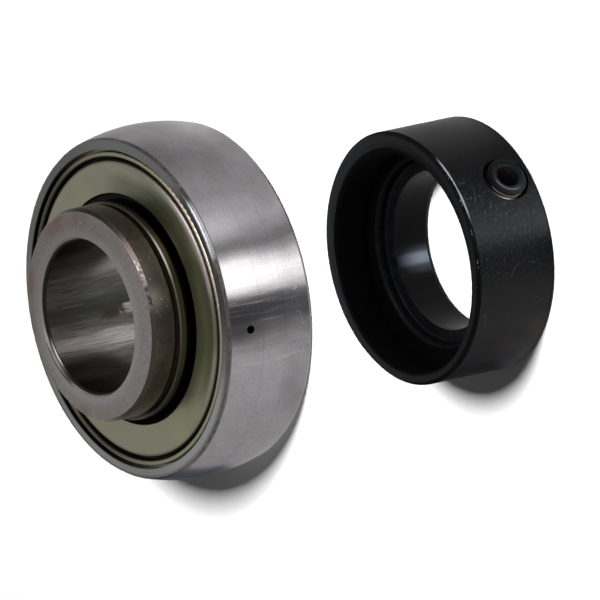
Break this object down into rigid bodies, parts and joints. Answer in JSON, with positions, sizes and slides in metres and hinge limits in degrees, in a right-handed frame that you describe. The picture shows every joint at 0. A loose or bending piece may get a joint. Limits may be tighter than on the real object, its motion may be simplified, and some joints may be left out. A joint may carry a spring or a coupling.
{
  "type": "insert ball bearing with eccentric locking collar",
  "caption": "Sealed insert ball bearing with a spherical outer ring and an extended inner ring, with its black eccentric locking collar and set screw beside it.",
  "frame": {"origin": "centre of the outer ring's ball-shaped seat, on the bore's axis, in the middle plane of the balls", "axes": "+Z along the bearing's axis, towards the extended end with the cam; the collar stands beside it towards -Y with its own axis parallel"},
  "size_m": [0.052, 0.112, 0.022],
  "materials": {
    "ground_steel": "finely ground, bright",
    "turned_steel": "turned and ground, light rust",
    "ball_steel": "polished",
    "cage_sheet": "pressed sheet",
    "rivet_steel": "plain",
    "yellow_zinc_sheet": "olive-gold zinc plate, satin",
    "black_rubber": "matte",
    "black_oxide_steel": "black oxide, satin",
    "black_screw_steel": "black oxide, satin"
  },
  "bodies": {
    "outer_ring_group": {"outer_ring": "ground_steel", "front_seal_plate": "yellow_zinc_sheet", "front_seal_lip": "black_rubber", "front_seal_inner_plate": "cage_sheet", "back_seal_plate": "yellow_zinc_sheet", "back_seal_lip": "black_rubber", "back_seal_inner_plate": "cage_sheet", "locking_collar": "black_oxide_steel"},
    "inner_ring_group": {"inner_ring": "turned_steel"},
    "cage_group": {"cage_front_half": "cage_sheet", "cage_back_half": "cage_sheet", "cage_rivets": "rivet_steel"},
    "ball_1_group": {"ball_1": "ball_steel"},
    "ball_2_group": {"ball_2": "ball_steel"},
    "ball_3_group": {"ball_3": "ball_steel"},
    "ball_4_group": {"ball_4": "ball_steel"},
    "ball_5_group": {"ball_5": "ball_steel"},
    "ball_6_group": {"ball_6": "ball_steel"},
    "ball_7_group": {"ball_7": "ball_steel"},
    "ball_8_group": {"ball_8": "ball_steel"},
    "ball_9_group": {"ball_9": "ball_steel"},
    "set_screw_group": {"set_screw": "black_screw_steel"}
  },
  "joints": [
    {"name": "inner_ring_spin", "type": "hinge", "parent": "outer_ring_group", "child": "inner_ring_group", "pos_m": [0, 0, 0], "axis": [0, 0, 1], "continuous": true},
    {"name": "cage_spin", "type": "hinge", "parent": "outer_ring_group", "child": "cage_group", "pos_m": [0, 0, 0], "axis": [0, 0, 1], "continuous": true},
    {"name": "ball_1_spin", "type": "hinge", "parent": "cage_group", "child": "ball_1_group", "pos_m": [0.01923, 0, 0], "axis": [0, 0, 1], "continuous": true},
    {"name": "ball_2_spin", "type": "hinge", "parent": "cage_group", "child": "ball_2_group", "pos_m": [0.01473, 0.01236, 0], "axis": [0, 0, 1], "continuous": true},
    {"name": "ball_3_spin", "type": "hinge", "parent": "cage_group", "child": "ball_3_group", "pos_m": [0.00334, 0.01894, 0], "axis": [0, 0, 1], "continuous": true},
    {"name": "ball_4_spin", "type": "hinge", "parent": "cage_group", "child": "ball_4_group", "pos_m": [-0.00962, 0.01665, 0], "axis": [0, 0, 1], "continuous": true},
    {"name": "ball_5_spin", "type": "hinge", "parent": "cage_group", "child": "ball_5_group", "pos_m": [-0.01807, 0.00658, 0], "axis": [0, 0, 1], "continuous": true},
    {"name": "ball_6_spin", "type": "hinge", "parent": "cage_group", "child": "ball_6_group", "pos_m": [-0.01807, -0.00658, 0], "axis": [0, 0, 1], "continuous": true},
    {"name": "ball_7_spin", "type": "hinge", "parent": "cage_group", "child": "ball_7_group", "pos_m": [-0.00962, -0.01665, 0], "axis": [0, 0, 1], "continuous": true},
    {"name": "ball_8_spin", "type": "hinge", "parent": "cage_group", "child": "ball_8_group", "pos_m": [0.00334, -0.01894, 0], "axis": [0, 0, 1], "continuous": true},
    {"name": "ball_9_spin", "type": "hinge", "parent": "cage_group", "child": "ball_9_group", "pos_m": [0.01473, -0.01236, 0], "axis": [0, 0, 1], "continuous": true},
    {"name": "set_screw_travel", "type": "slide", "parent": "outer_ring_group", "child": "set_screw_group", "axis": [0.5446, -0.8387, 0], "range_m": [-0.0009, 0.004]}
  ],
  "couplings": [
    {"joint": "cage_spin", "follows": "inner_ring_spin", "ratio": 0.39681},
    {"joint": "ball_1_spin", "follows": "inner_ring_spin", "ratio": -2.3197},
    {"joint": "ball_2_spin", "follows": "inner_ring_spin", "ratio": -2.3197},
    {"joint": "ball_3_spin", "follows": "inner_ring_spin", "ratio": -2.3197},
    {"joint": "ball_4_spin", "follows": "inner_ring_spin", "ratio": -2.3197},
    {"joint": "ball_5_spin", "follows": "inner_ring_spin", "ratio": -2.3197},
    {"joint": "ball_6_spin", "follows": "inner_ring_spin", "ratio": -2.3197},
    {"joint": "ball_7_spin", "follows": "inner_ring_spin", "ratio": -2.3197},
    {"joint": "ball_8_spin", "follows": "inner_ring_spin", "ratio": -2.3197},
    {"joint": "ball_9_spin", "follows": "inner_ring_spin", "ratio": -2.3197}
  ]
}
